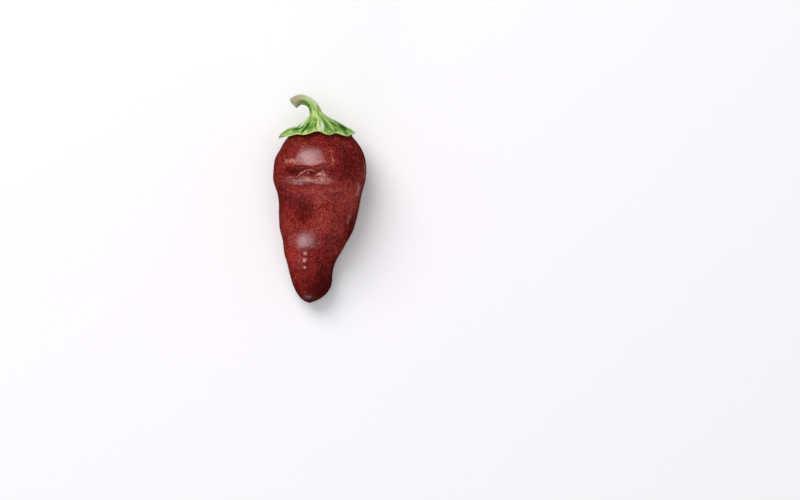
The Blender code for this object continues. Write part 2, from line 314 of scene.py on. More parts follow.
# Streaks that run to the tip: how many across and along each millimetre, and their weight.
SKIN_STREAKS = (1.6, 0.08, 1.8)
STREAK_DETAIL = 2.0
# How far the dark marks darken the tone, as painted shade.
PAINTED_SHADE_DARKENING = 0.55
# The pale places, painted highlights, are stippled too: (contrast, lowest value).
SPECKLE = (3.0, -0.5)
# Its wax is satin, and matt where the skin is dull.
SKIN_ROUGHNESS = (0.25, 0.65)
SKIN_IOR = 1.6
SKIN_SPECULAR = 0.5
BUMP_STRENGTH = 0.5
STIPPLE_DEPTH = 0.12
MOTTLING_DEPTH = 0.15

# Stem, from the middle of the pod's top: (to the right, away from the tip, up, radius).
STEM_ROUTE = np.array((
    (-3.1, 6.2, 0.0, 3.9),
    (-4.3, 9.7, 0.2, 3.1),
    (-6.8, 12.7, 0.7, 2.75),
    (-10.3, 14.25, 1.3, 2.95),
    (-13.7, 13.8, 2.1, 3.1),
    (-16.1, 12.0, 2.7, 3.3),
))
STEM_STEP = 0.01
STEM_RIDGES = 5
STEM_RIDGE_SHARE = 0.06
# Fine striation of the stem and of the hat: (how many round it, turn).
STEM_STRIATION = ((11, 0.7), (17, 2.1), (29, 0.0))
HAT_STRIATION = 61
STRIATION_RISE = 0.05
# The cut: its flat face and its rounded edge, as shares of the stem's radius, and how far the rounding
# stands out. Its rows stand at these degrees of the rounding: (first, end, step).
CUT_FACE = 0.84
CUT_ROUNDING = 0.14
CUT_BEVEL = 0.35
BEVEL_ROWS = (22.5, 90.0, 11.25)

# Calyx: the hat's outer surface as (radius, height over the pod's top), and its edge as (angle in
# degrees, reach, height), a tooth and then the notch beside it.
HAT_MIDDLE = -1.2
HAT_PROFILE = np.array((
    (3.9, 6.2),
    (5.4, 4.2),
    (8.8, 2.1),
    (12.4, 0.0),
    (16.8, -2.4),
    (20.6, -4.6),
    (22.4, -6.4),
))
HAT_EDGE = np.array((
    (0, 21.8, -5.1), (15, 20.2, -6.0),
    (44, 21.7, -7.2), (60, 20.2, -5.9),
    (71, 21.8, -7.1), (89, 19.2, -4.8),
    (109, 22.0, -6.9), (127, 21.0, -6.5),
    (145, 22.9, -7.8), (164, 21.6, -6.8),
    (180, 24.2, -7.9), (200, 20.8, -6.2),
    (221, 22.6, -7.8), (240, 20.2, -5.8),
    (259, 22.2, -7.6), (278, 19.8, -5.5),
    (297, 21.8, -7.4), (315, 19.8, -5.6),
    (334, 21.8, -7.0), (349, 20.2, -5.0),
))
# How late the hat gives way to its edge, and how far out its rim is rounded.
EDGE_PULL = 1.5
EDGE_ROUNDING = 0.975
EDGE_THICKNESS = 1.1
CROWN_THICKNESS = 2.4
# The underside stands this far over the pod's dome where it doesn't stand clear.
HAT_GAP = 0.4
# The pod's dome is met within these shares of the way to the tip.
DOME_SHARES = (0.001, 0.4)
# The hat rises towards a tooth that reaches this much further than the mean, and as much less at a notch.
TOOTH_RISE = 0.55
TOOTH_REACH = 1.5
# Ribs run to the teeth, and weaker ones to the notches.
RIB_STRENGTHS = (0.5, 0.35, 0.4, 0.3, 0.75, 0.9, 0.6, 0.8, 0.5, 0.7)
RIB_HALF_WIDTH = 0.7
NOTCH_RIB_STRENGTH = 0.25
NOTCH_RIB_HALF_WIDTH = 0.5
# Hollows of the hat between its crown and a tooth: (angle, half width of the angle, depth, and the
# shares of the way to the edge where it starts, is deepest, rises again and ends).
HAT_HOLLOWS = (
    (pi, 0.6, 1.4, 0.05, 0.4, 0.45, 0.8),
    (0.0, 0.5, 0.7, 0.5, 0.8, 0.9, 1.0),
)
# Rows and columns of the mesh, and how often a sought place is halved in on.
CALYX_COLUMNS = 320
FACE_ROWS = 14
STEM_ROWS = 64
HAT_ROWS = 96
RIM_ROWS = 9
UNDER_ROWS = 22
HALVINGS = 18

# Lines of the calyx as seen from above: (half width, rise, lime, furrow, route of (across, down)). The first
# three are whitish ribs, painted in the bloom colour as painted highlights for their lime, and those with a
# furrow are dark strokes, painted shade in the grooves.
PAINTED_HIGHLIGHT_RIBS = 3
CALYX_LINES = (
    (0.4, 0.2, 1.2, -1.2, ((-7.0, -2.9), (-9.6, -1.25), (-12.0, 0.3), (-14.0, 1.5), (-17.0, 2.6))),
    (0.36, 0.2, 1.2, -0.8, ((-8.9, -1.1), (-10.8, 0.8), (-12.7, 2.7))),
    (0.28, 0.1, 0.6, 0.0, ((-8.6, 0.0), (-9.3, 1.1), (-9.8, 2.0))),
    (0.55, -0.2, -0.8, 1.9, ((-9.8, -0.1), (-11.8, 1.5), (-14.0, 2.8), (-17.6, 4.0))),
    (0.42, -0.15, -0.6, 1.6, ((-8.8, 0.1), (-10.4, 1.7), (-12.4, 3.6))),
    (0.8, -0.15, -0.9, 1.3, ((-6.7, -1.0), (-7.6, 0.9), (-9.0, 3.2), (-10.6, 4.6))),
    (1.1, -0.15, -0.8, 1.0, ((-4.8, -0.6), (-5.6, 0.8), (-6.6, 2.5), (-7.8, 4.4))),
    (0.45, 0.12, 0.6, 0.0, ((-3.0, -8.9), (-2.7, -3.2), (-3.2, 0.6), (-3.9, 4.2))),
    (0.35, 0.08, 1.2, -1.0, ((-15.6, -11.8), (-14.0, -13.9), (-11.8, -15.3), (-9.2, -15.2), (-6.7, -13.5))),
    (0.32, 0.08, 0.8, -0.8, ((-7.6, -14.4), (-5.6, -12.2), (-4.3, -9.6), (-3.8, -6.4), (-3.4, -3.0))),
    (0.45, -0.1, -0.7, 0.9,
     ((-14.3, -11.0), (-12.8, -12.8), (-10.3, -13.8), (-8.0, -12.1), (-6.7, -9.5), (-6.2, -6.4))),
    (0.3, -0.06, -0.4, 0.4, ((-8.4, -16.2), (-5.6, -14.4), (-3.2, -11.4))),
    (0.3, -0.06, -0.4, 0.4, ((-3.6, -14.4), (-1.2, -10.6), (-0.2, -6.8), (1.2, -4.0))),
    (0.7, 0.15, 1.0, 0.0, ((-1.6, -2.4), (-1.4, 0.6), (-0.6, 2.6), (0.8, 3.8))),
    (0.6, 0.12, 0.8, 0.0, ((0.4, -1.8), (1.6, 0.8), (2.2, 3.1))),
    (0.5, -0.15, -0.4, 0.6, ((0.6, -4.0), (3.0, -1.0), (4.8, 2.4), (6.0, 4.6))),
    (0.45, 0.12, 0.5, 0.0, ((1.4, -4.4), (4.8, -1.4), (8.4, 2.4), (10.4, 5.2))),
    (0.6, -0.25, -0.9, 2.0, ((7.2, 1.0), (9.4, 2.6), (11.0, 4.6))),
    (0.75, -0.25, -0.9, 2.1, ((11.2, 0.2), (13.6, 2.0), (16.2, 4.2))),
    (0.5, -0.2, -0.6, 1.2, ((5.6, -1.4), (8.2, 0.2), (11.0, 1.8))),
    (0.4, 0.12, 0.5, 0.0, ((5.0, -3.4), (9.0, -0.6), (13.6, 2.4), (16.8, 4.6))),
)

# Tones of the calyx and stem, with their strengths.
CALYX_TONES = ("lime", "bloom", "furrow", "margin", "mauve", "cut")
LIME_OF_RIBS = 0.75
LIME_OF_CROWN = 0.8
LIME_OF_BRIM = 0.25
# The stem is paler on the outer side of its bend, as a painted highlight, and darker on its hollow side, as
# painted shade.
LIME_OF_STEM = 0.75
PAINTED_SHADE_OF_STEM = 0.7
STEM_HIGHLIGHT_AND_BLOOM = 0.7
HIGHLIGHT_AND_BLOOM_FADING = 0.7
MAUVE_OF_STEM = (0.65, 0.3)
MARGIN_OF_UNDERSIDE = 0.5
MARGIN_UNEVENNESS = (0.85, 0.3)
# The edge is greener at the longest tooth: (half width of the angle, how much less margin).
LONGEST_TOOTH = (0.3, 0.8)
# A painted highlight, a whitish spot in the middle of the hat: (across, down), (half across, half down),
# strength.
PAINTED_HIGHLIGHT_SPOT = ((1.0, 1.6), (1.5, 2.2), 0.75)
# The cut shows a darker ring of vessels round paler pith, and a dry brownish edge: (share of the way
# from its middle, half width, strength).
VESSELS = ((0.66, 0.07, 0.75), (0.0, 0.18, 0.3))
BLOOM_OF_PITH = 0.35
MAUVE_OF_BARK = 0.9

# Streaks in four widths, from 0.7 mm to 8 mm on the hat, and a seventh of that on the stem: (how many
# round each radian, how many along each millimetre, weight).
CALYX_STREAKS = ((30.0, 0.3, 5.5), (16.0, 0.2, 5.5), (6.5, 0.12, 3.5), (2.6, 0.06, 2.0))
# Mottling of the calyx: (width of a fleck, detail, weight).
CALYX_MOTTLING = (1.6, 3.0, 1.2)
# Tints of the calyx, each over those before it: (tone, colour, strength, how much of it the streaks show
# everywhere).
CALYX_TINTS = (
    ("cut", "pale", 1.0, 0.0),
    ("lime", "pale", 0.85, 0.42),
    ("furrow", "dark", 0.9, -0.55),
    ("bloom", "bloom", 0.85, 0.0),
    ("margin", "margin", 0.9, 0.0),
    ("mauve", "mauve", 0.8, 0.0),
)
TISSUE_ROUGHNESS = 0.5
TISSUE_IOR = 1.45
TISSUE_SPECULAR = 0.35
STREAK_DEPTH = 0.06

# Soft lights, aimed at the pod: (direction of the light, direction of its long side, distance, size,
# colour, whether the skin mirrors it).
LIGHT_AIM = (0.0, 0.0, 25.0)
LIGHTS = {
    "main_light": ((-0.363, 0.566, 0.785), (0.87, 0.02, 0.45), 2500.0, (1890.0, 1380.0), "#fbf5fa", True),
    "low_light": ((-0.315, -0.93, 0.104), (0.885, -0.292, 0.362), 2500.0, (1440.0, 500.0), "#f6f2ff", True),
    "top_light": ((0.0, 0.0, 1.0), (1.0, 0.0, 0.0), 3000.0, (3400.0, 3400.0), "#ffffff", False),
}
ROOM_COLOUR = "#f4f6ff"
FLOOR_WIDTH = 8000.0
FLOOR_ROUGHNESS = 0.9
FLOOR_IOR = 1.2


class Spline:
    """A smooth curve through rows of values at the knots, with no bend at its two ends."""

    def __init__(self, knots, values):
        self.knots = knots
        self.values = values
        self.step = np.diff(knots)
        slope = np.diff(values, axis=0) / self.step[:, None]
        matrix = np.eye(len(knots))
        right = np.zeros_like(values)
        for i in range(1, len(knots) - 1):
            before, after = self.step[i - 1], self.step[i]
            matrix[i, i - 1 : i + 2] = before, 2 * (before + after), after
            right[i] = 6 * (slope[i] - slope[i - 1])
        self.bend = np.linalg.solve(matrix, right)

    def __call__(self, where):
        where = np.asarray(where, float)
        i = np.clip(np.searchsorted(self.knots, where) - 1, 0, len(self.step) - 1)
        h = self.step[i][..., None]
        before = (where - self.knots[i])[..., None]
        after = (self.knots[i + 1] - where)[..., None]
        near = self.bend[i] * after**3 + self.bend[i + 1] * before**3
        left = (self.values[i] - self.bend[i] * h * h / 6) * after
        right = (self.values[i + 1] - self.bend[i + 1] * h * h / 6) * before
        return near / (6 * h) + (left + right) / h


def travelled(points):
    """How far along a line of points each one is, from 0 to 1."""
    reached = np.concatenate([[0.0], np.cumsum(np.linalg.norm(np.diff(points, axis=0), axis=1))])
    return reached / reached[-1]


def ease(low, high, value):
    """0 below low, 1 above high, and smooth between."""
    share = np.clip((np.asarray(value, float) - low) / (high - low), 0.0, 1.0)
    return share * share * (3 - 2 * share)


def fade_in(name, value):
    return ease(*FADES[name], value)


def fade_out(name, value):
    return 1 - fade_in(name, value)


def bell(gap, half_width):
    """1 in the middle, falling smoothly to 0 on both sides."""
    return np.exp(-((gap / half_width) ** 2))


def full_turn(count):
    return tau * np.arange(count) / count


def turned(turn, start):
    """Angles measured from a start, within half a turn either way."""
    return (turn - start + pi) % tau - pi


def unit(vectors):
    return vectors / np.maximum(np.linalg.norm(vectors, axis=-1, keepdims=True), TINY)


def waves(points, length, count, seed):
    """A smooth irregular field of about -1 to 1, with swells of roughly this length."""
    draw = np.random.default_rng(seed)
    field = np.zeros(points.shape[:-1])
    for _ in range(count):
        direction = unit(draw.normal(size=3))
        beat = tau / (length * draw.uniform(*WAVE_LENGTHS))
        field += np.cos(points @ (direction * beat) + draw.uniform(0, tau))
    return field / np.sqrt(count)


def wavering(spots, points, wavers):
    """Spots of the drawing, each moved a little, because nothing grown is drawn with a ruler."""
    for distance, across, down in wavers:
        spots = spots + distance * np.stack([waves(points, *across), waves(points, *down)], axis=-1)
    return spots


def beside(spots, route, reach):
    """Spots within reach of a smooth line through the route.

    Gives their mask, and for each of them its distance, less than 0 on the line's top side, and a
    share that thins out to the two ends of the line.
    """
    route = np.array(route, float)
    share = np.linspace(0, 1, LINE_STEPS)
    line = Spline(travelled(route), route)(share)
    near = np.all((spots > line.min(axis=0) - reach) & (spots < line.max(axis=0) + reach), axis=-1)
    gaps = spots[near][:, None] - line
    nearest = np.linalg.norm(gaps, axis=-1).argmin(axis=1)
    gap = gaps[np.arange(len(nearest)), nearest]
    ahead = np.gradient(line, axis=0)[nearest]
    side = np.sign(ahead[:, 0] * gap[:, 1] - ahead[:, 1] * gap[:, 0])
    return near, side * np.linalg.norm(gap, axis=-1), np.sin(pi * share[nearest]) ** LINE_THINNING


def patch_mask(spots, centre, halves, turn=0.0):
    """1 in the middle of a soft oval patch, falling to 0 round it."""
    gap = spots - np.array(centre)
    across = gap[..., 0] * cos(turn) + gap[..., 1] * sin(turn)
    down = gap[..., 1] * cos(turn) - gap[..., 0] * sin(turn)
    return np.exp(-((across / halves[0]) ** 2) - (down / halves[1]) ** 2)


def in_drawing(points):
    """Where points of the upper side show in a drawing from above: across, and down from the top."""
    camera = np.array(CAMERA_PLACE)
    shrink = (camera[2] - DRAWING_HEIGHT) / (camera[2] - points[..., 2])
    seen = camera[:2] + (points[..., :2] - camera[:2]) * shrink[..., None] - ZERO[:2]
    return seen * (1, -1)


def normals(grid):
    """The outward directions of a grid of points: rows from one end to the other, columns all round."""
    along = np.gradient(grid, axis=0)
    round_it = np.roll(grid, -1, axis=1) - np.roll(grid, 1, axis=1)
    return unit(np.cross(round_it, along))


POD_OUTLINE = Spline(
    travelled(np.stack([POD_STATIONS[:, 0], (POD_STATIONS[:, 2] - POD_STATIONS[:, 1]) / 2], axis=1)),
    POD_STATIONS,
)
STEM_LINE = Spline(travelled(STEM_ROUTE[:, :3]), STEM_ROUTE)
HAT_LINE = Spline(travelled(HAT_PROFILE), HAT_PROFILE)
EDGE_TURNS = np.concatenate([HAT_EDGE - (360, 0, 0), HAT_EDGE, HAT_EDGE + (360, 0, 0)])
EDGE_LINE = Spline(EDGE_TURNS[:, 0], EDGE_TURNS[:, 1:])


def stretched(values, low, high):
    """Rows of values, each stretched to run from its low to its high."""
    least = values.min(axis=1, keepdims=True)
    most = values.max(axis=1, keepdims=True)
    share = (values - least) / np.maximum(most - least, TINY)
    return low[:, None] + share * (high - low)[:, None]


def settled(height):
    """The underside pressed flat where it meets the floor, with a short rounding to the rest."""
    rounding = (np.clip(height, -SETTLED, SETTLED) + SETTLED) ** 2 / (4 * SETTLED)
    return np.where(height > SETTLED, height, rounding)


def crowded_rows():
    """Shares of the way to the tip, closer together where the folds are."""
    share = np.linspace(0, 1, CROWDING_STEPS)
    more, at, spread = FOLD_CROWDING
    crowding = 1 + more * bell(POD_OUTLINE(share)[:, 0] - at, spread)
    passed = np.concatenate([[0.0], np.cumsum((crowding[1:] + crowding[:-1]) / 2)])
    return np.interp(np.linspace(0, 1, POD_ROWS + 1), passed / passed[-1], share)


def pod_grid():
    """The pod's smooth wall as rows of points from its top to its tip."""
    share = crowded_rows()
    turn = full_turn(POD_COLUMNS)
    turn = turn + UPPER_CROWDING * np.cos(turn)
    down, left, right, under, over = POD_OUTLINE(share).T
    depth = FURROW_SHARE * fade_in("furrow start", share) * fade_out("furrow end", share)
    swell = np.ones((len(share), len(turn)))
    for furrow in FURROWS:
        gap = turned(turn, furrow + FURROW_TWIST * share[:, None])
        swell -= depth[:, None] * bell(gap, FURROW_HALF_WIDTH)
    across = stretched(swell * np.cos(turn), left, right)
    up = stretched(swell * np.sin(turn), under, over)
    radius = ((right - left + over - under) / 4)[:, None]
    relief = np.zeros_like(across)
    for at, direction, half_length, half_width, rise in POD_RELIEF:
        gap = turned(turn, radians(direction)) * radius
        relief += rise * bell(down[:, None] - at, half_length) * bell(gap, half_width)
    relief *= fade_in("relief", share)[:, None] * (share < 1)[:, None]
    across += relief * np.cos(turn)
    up = settled(up + relief * np.sin(turn))
    grid = np.stack([across, np.broadcast_to(-down[:, None], across.shape), up], axis=2)
    return grid + ZERO, down, turn, radius


def skin(name, grid, marks):
    """One closed mesh over rows of points, whose first and last row are its two ends.

    A flat grid is added and its points are moved. Then its two sides are joined, and each of its ends
    becomes one point. Seen from the first end the rows run clockwise.
    """
    rows, columns = grid.shape[0] - 1, grid.shape[1]
    bpy.ops.object.select_all(action="DESELECT")
    bpy.ops.mesh.primitive_grid_add(x_subdivisions=columns, y_subdivisions=rows, size=2)
    piece = bpy.context.object
    piece.name = name
    data = piece.data
    data.name = name
    place = np.empty(len(data.vertices) * 3)
    data.vertices.foreach_get("co", place)
    place = place.reshape(-1, 3)
    row = np.rint((1 - place[:, 1]) / 2 * rows).astype(int)
    column = np.rint((1 + place[:, 0]) / 2 * columns).astype(int) % columns
    data.vertices.foreach_set("co", (grid[row, column] * MM).ravel())
    for mark, values in marks.items():
        kind, field = ("FLOAT_VECTOR", "vector") if values.ndim == 3 else ("FLOAT", "value")
        layer = data.attributes.new(mark, kind, "POINT")
        layer.data.foreach_set(field, values[row, column].ravel())
    bpy.ops.object.mode_set(mode="EDIT")
    bpy.ops.mesh.select_all(action="SELECT")
    bpy.ops.mesh.remove_doubles(threshold=JOINING * MM)
    bpy.ops.mesh.normals_make_consistent(inside=False)
    bpy.ops.object.mode_set(mode="OBJECT")
    bpy.ops.object.shade_smooth()
    return piece


def linear(colour):
    """An sRGB colour such as "#7d2925" as linear red, green, blue and alpha."""
    parts = [int(colour[i : i + 2], 16) / 255 for i in (1, 3, 5)]
    return [part / 12.92 if part <= 0.04045 else ((part + 0.055) / 1.055) ** 2.4 for part in parts] + [1.0]


def node(tree, kind, inputs=None, **settings):
    """Adds a node with its settings. Each input is given a value, or the node or output it is linked to."""
    made = tree.nodes.new("ShaderNode" + kind)
    for name, value in settings.items():
        setattr(made, name, value)
    for name, value in (inputs or {}).items():
        if isinstance(value, bpy.types.Node):
            value = next(output for output in value.outputs if output.enabled)
        if isinstance(value, bpy.types.NodeSocket):
            tree.links.new(value, made.inputs[name])
        else:
            made.inputs[name].default_value = value
    return made


def new_material(piece, name):
    """An empty node material on a piece."""
    material = bpy.data.materials.new(name)
    material.use_nodes = True
    tree = material.node_tree
    tree.nodes.clear()
    piece.data.materials.clear()
    piece.data.materials.append(material)
    return tree


def read_marks(tree, names):
    """The tones of a piece's skin in its material, by name."""
    return {name: node(tree, "Attribute", attribute_name=name).outputs["Fac"] for name in names}


def drawn_out(tree, round_it, along):
    """A noise drawn out along the growth: how many streaks round it, and along each millimetre."""
    lengthwise = node(tree, "Attribute", attribute_name="lengthwise").outputs["Vector"]
    beats = {"Vector": lengthwise, "Scale": (round_it, round_it, along)}
    place = node(tree, "Mapping", beats, vector_type="POINT")
    return node(tree, "TexNoise", {"Vector": place, "Scale": 1.0, "Detail": STREAK_DETAIL})


def pod_marks(grid):
    """The skin's rise and tones on the pod's smooth wall, with its painted shade and painted highlights."""
    spots = in_drawing(grid)
    marks = {name: np.zeros(grid.shape[:2]) for name in ("rise",) + SKIN_TONES}
    rise = marks["rise"]
    for across, down, step, half_width, heights in SKIN_SWELLS:
        for i, height in enumerate(heights):
            rise += height * patch_mask(spots, (across, down + i * step), (half_width, half_width))
    spots = wavering(spots, grid, POD_WAVERS)
    for depth, drop, hollow, route in SKIN_FOLDS:
        near, gap, thinning = beside(spots, route, LINE_REACH * hollow)
        profile = FOLD_DROP * ease(-drop, drop, gap) + (1 - FOLD_DROP) * ease(0.0, FOLD_SLOPE * hollow, gap)
        profile *= bell(np.maximum(gap, 0), hollow) * thinning
        rise[near] -= depth * profile
        # The fold's hollow is painted darker, as painted shade.
        marks["dark"][near] += PAINTED_FOLD_SHADE * profile
    for height, gentle, steep, route in SKIN_WELTS:
        near, gap, thinning = beside(spots, route, WELT_REACH * gentle)
        rise[near] += height * thinning * bell(gap, np.where(gap > 0, steep, gentle))
    broken = LINE_STRENGTH + LINE_UNEVENNESS * waves(grid, *BREAK_WAVES)
    for half_width, height, highlight_paleness, route in SKIN_LINES:
        near, gap, thinning = beside(spots, route, LINE_REACH * half_width)
        mask = bell(gap, half_width) * thinning * broken[near]
        rise[near] += height * mask
        # A painted highlight along the line.
        marks["pale"][near] += highlight_paleness * mask
    # Patches of painted shade, painted light and painted highlights, with some swells and tones.
    for across, down, half_across, half_down, lean, strengths in SKIN_PATCHES:
        mask = patch_mask(spots, (across, down), (half_across, half_down), radians(lean))
        for name, strength in strengths.items():
            marks[name] += strength * mask
    # The drawn forms are those of the upper side, but the tip is dark and dull all round.
    upper = fade_in("upper side", normals(grid)[..., 2])
    all_round = np.maximum(upper, fade_in("dark tip", ZERO[1] - grid[..., 1]))
    for name in marks:
        marks[name] *= all_round if name in ("dark", "dull") else upper
    return marks


def setting(name, description, value, **limits):
    """A value that a user may change."""
    return bpy.props.FloatProperty(name=name, description=description, default=value, min=0.0, **limits)


def colour_setting(name, description, colour):
    """A colour that a user may change."""
    return bpy.props.FloatVectorProperty(
        name=name, description=description, subtype="COLOR", size=4, default=linear(colour), min=0.0, max=1.0
    )


class PepperPodSettings(bpy.types.PropertyGroup):
    """Sizes and colours of the pod."""

    relief: setting("Wrinkle height", "How strongly the skin's folds and lines stand out", 1.0, max=2.0)
    swell: setting("Swells", "Height of the uneven swells", 0.16 * MM, unit="LENGTH", precision=5)
    brown: colour_setting("Ripe brown red", "Main colour of the ripe skin", "#801c15")
    # The deep brown is also the painted shade of the dark marks.
    deep: colour_setting("Deep brown", "Colour of the darker patches of the skin", "#470a08")
    # The light brown red also shows the painted light where a dark is below 0.
    light: colour_setting("Light brown red", "Colour of the lighter flecks of the skin", "#b84c42")
    # The bright red is also the painted glow at the lower left.
    red: colour_setting("Bright red", "Colour where the skin ripened redder", "#bc2c23")
    # The worn crests' colour is the painted highlight of the pale lines, lobes and glints.
    pale: colour_setting("Worn crests", "Colour of the wax on the raised lines", "#d28980")


class PepperCalyxSettings(bpy.types.PropertyGroup):
    """Sizes and colours of the calyx and stem."""

    rib: setting("Rib height", "Height of the ribs to the teeth", 0.45 * MM, unit="LENGTH", precision=5)
    green: colour_setting("Green", "Main colour of the calyx", "#78ac36")
    # The furrow green is painted shade in the furrows and on the stem's hollow side, and the dark ring of
    # vessels in the cut.
    dark: colour_setting("Furrow green", "Colour of the furrows between the ribs", "#2c641a")
    # The pale lime is also a painted highlight on the stem's outer side.
    pale: colour_setting("Pale lime", "Colour of the ribs and of the outer side of the stem", "#cbe08c")
    # The bloom colour is also painted highlight: on the stem's outer side, along the first ribs and in the
    # hat's middle.
    bloom: colour_setting("Bloom", "Colour of the whitish bloom on the stem's outer side", "#e6eed8")
    margin: colour_setting("Margin", "Colour of the thin edge of the calyx", "#dcdc98")
    mauve: colour_setting("Mauve", "Tinge of the stem's thick end", "#a98c8a")


class PepperStageSettings(bpy.types.PropertyGroup):
    """The floor and the lights."""

    main_light: setting("Main light", "Power of the large light at the upper left", 41.0, unit="POWER")
    low_light: setting("Low light", "Power of the small light beyond the tip", 15.2, unit="POWER")
    top_light: setting("Top light", "Power of the light above, which isn't mirrored", 34.0, unit="POWER")
    room: setting("Room light", "Brightness of the even light all round", 0.34)
    floor: colour_setting("Floor", "Colour of the floor", "#f8f8f6")


class PEPPER_OT_pod(bpy.types.Operator):
    """Build the pod with its folds, lines and waxy skin."""

    bl_idname = "pepper.pod"
    bl_label = "Pod"
    bl_options = {"REGISTER", "UNDO"}

    def execute(self, context):
        settings = context.scene.pepper_pod
        grid, down, turn, radius = pod_grid()
        marks = pod_marks(grid)
        rise = marks.pop("rise") * settings.relief + settings.swell / MM * waves(grid, *WALL_WAVES)
        # Near the floor, and at the two ends where the rows meet, the smooth wall is kept.
        ends = fade_in("top", down) * fade_out("tip", down)
        rise *= fade_in("floor", grid[..., 2]) * ends[:, None]
        wall = grid + normals(grid) * rise[..., None]
        round_it = np.stack([np.cos(turn), np.sin(turn)], axis=1) * radius[..., None]
        along = np.broadcast_to(down[:, None, None], grid.shape[:2] + (1,))
        marks["lengthwise"] = np.concatenate([round_it, along], axis=2)
        pod = skin("pod_skin", wall, marks)
        paint_pod(pod, settings)
        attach(pod, "root")
        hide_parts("pod")
        return {"FINISHED"}


def paint_pod(pod, settings):
    """Ripe pepper skin: a thin waxy cuticle over brown-red flesh, satin, finely stippled by its cells, with
    painted shade and painted highlights.
    """
    tree = new_material(pod, "waxy_pepper_skin")
    place = node(tree, "TexCoord").outputs["Object"]
    marks = read_marks(tree, SKIN_TONES)
    patterns = {}
    # Each pattern is weighed round its middle value, a half.
    tone = (1 - sum(weight for _, _, weight in SKIN_PATTERNS.values())) / 2
    for name, (width, detail, weight) in SKIN_PATTERNS.items():
        spread = {"Vector": place, "Scale": 1 / (width * MM), "Detail": detail}
        patterns[name] = node(tree, "TexNoise", spread)
        tone = node(tree, "Math", {0: patterns[name], 1: weight, 2: tone}, operation="MULTIPLY_ADD")
    *beats, weight = SKIN_STREAKS
    streaks = drawn_out(tree, *beats)
    streaks = node(tree, "Math", {0: streaks, 1: weight, 2: -weight / 2}, operation="MULTIPLY_ADD")
    tone = node(tree, "Math", {0: streaks, 1: marks["streaked"], 2: tone}, operation="MULTIPLY_ADD")
    # The dark marks, painted shade, lower the tone, and a dark below 0 is painted light.
    painted_shade_tone = node(tree, "Math", {0: marks["dark"], 1: -PAINTED_SHADE_DARKENING, 2: tone}, operation="MULTIPLY_ADD")
    low_half = node(tree, "Math", {0: painted_shade_tone, 1: 2.0}, operation="MULTIPLY")
    high_half = node(tree, "Math", {0: low_half, 1: 1.0}, operation="SUBTRACT")
    redness = node(tree, "Math", {0: marks["red"], 1: tone}, operation="MULTIPLY")
    contrast, lowest = SPECKLE
    speckle = {0: patterns["stipple"], 1: contrast, 2: lowest}
    speckle = node(tree, "Math", speckle, operation="MULTIPLY_ADD")
    # The pale marks, painted highlights, are stippled.
    highlight_paleness = node(tree, "Math", {0: marks["pale"], 1: speckle}, operation="MULTIPLY")
    colour = settings.deep[:]
    for share, tint in (
        (low_half, settings.brown),
        (high_half, settings.light),
        (redness, settings.red),
        (highlight_paleness, settings.pale),
    ):
        mixed = {"Factor": share, MIX_UNDER: colour, MIX_OVER: tint[:]}
        colour = node(tree, "Mix", mixed, data_type="RGBA")
    bare, worn = SKIN_ROUGHNESS
    roughness = node(tree, "MapRange", {"Value": marks["dull"], "To Min": bare, "To Max": worn})
    bump = None
    for name, depth in (("stipple", STIPPLE_DEPTH), ("mottling", MOTTLING_DEPTH)):
        relief = {"Strength": BUMP_STRENGTH, "Distance": depth * MM, "Height": patterns[name]}
        bump = node(tree, "Bump", relief | ({"Normal": bump} if bump else {}))
    shader = node(
        tree,
        "BsdfPrincipled",
        {
            "Base Color": colour,
            "Roughness": roughness,
            "IOR": SKIN_IOR,
            "Specular IOR Level": SKIN_SPECULAR,
            "Normal": bump,
        },
    )
    node(tree, "OutputMaterial", {"Surface": shader})


def solve(is_low, low, high, shape):
    """For each point, the value between low and high where is_low turns false, by halving."""
    low = np.full(shape, low, float)
    high = np.full(shape, high, float)
    for _ in range(HALVINGS):
        middle = (low + high) / 2
        short = is_low(middle)
        low = np.where(short, middle, low)
        high = np.where(short, high, middle)
    return low


def dome_below(x, z):
    """How far below its top the pod's dome is, at points seen along the stem."""

    def outside(share):
        _, left, right, under, over = np.moveaxis(POD_OUTLINE(share), -1, 0)
        along = (x - (left + right) / 2) / ((right - left) / 2)
        upwards = (z - (under + over) / 2) / ((over - under) / 2)
        return along**2 + upwards**2 > 1

    return POD_OUTLINE(solve(outside, *DOME_SHARES, x.shape))[..., 0]


def stem_frame(share):
    """The stem's middle at shares of its route, the two directions across it, and its radius."""
    row = STEM_LINE(share)
    ahead = unit(STEM_LINE(share + STEM_STEP)[..., :3] - row[..., :3])
    across = unit(np.cross(ahead, (0.0, 0.0, 1.0)))
    return row[..., :3], across, np.cross(across, ahead), row[..., 3]


def edge_at(turn):
    """The hat's edge at angles round its middle: its reach and its height over the pod's top."""
    reach, height = np.moveaxis(EDGE_LINE(np.degrees(turn) % 360), -1, 0)
    return reach, height


def hat_point(share, turn):
    """The hat's radius and height at shares of the way from the stem to the edge."""
    radius, height = np.moveaxis(HAT_LINE(share), -1, 0)
    reach, edge_height = edge_at(turn)
    pull = fade_in("edge", share) ** EDGE_PULL
    radius = radius + (reach - HAT_PROFILE[-1, 0]) * pull
    height = height + (edge_height - HAT_PROFILE[-1, 1]) * pull
    tooth = np.clip((reach - HAT_EDGE[:, 1].mean()) / TOOTH_REACH, -1, 1)
    height = height + TOOTH_RISE * tooth * fade_in("tooth start", share) * fade_out("tooth end", share)
    for middle, half_width, depth, start, deepest, rising, end in HAT_HOLLOWS:
        hollow = ease(start, deepest, share) * (1 - ease(rising, end, share))
        height = height - depth * hollow * bell(turned(turn, middle), half_width)
    return radius, height


def from_middle(radius, height, turn):
    """Points round the hat's middle, at a height over the pod's top."""
    return TOP + np.stack([HAT_MIDDLE + radius * np.cos(turn), height, radius * np.sin(turn)], axis=-1)


def round_stem(across, up, turn):
    """Directions outwards round the stem's middle."""
    return across * np.cos(turn)[..., None] + up * np.sin(turn)[..., None]


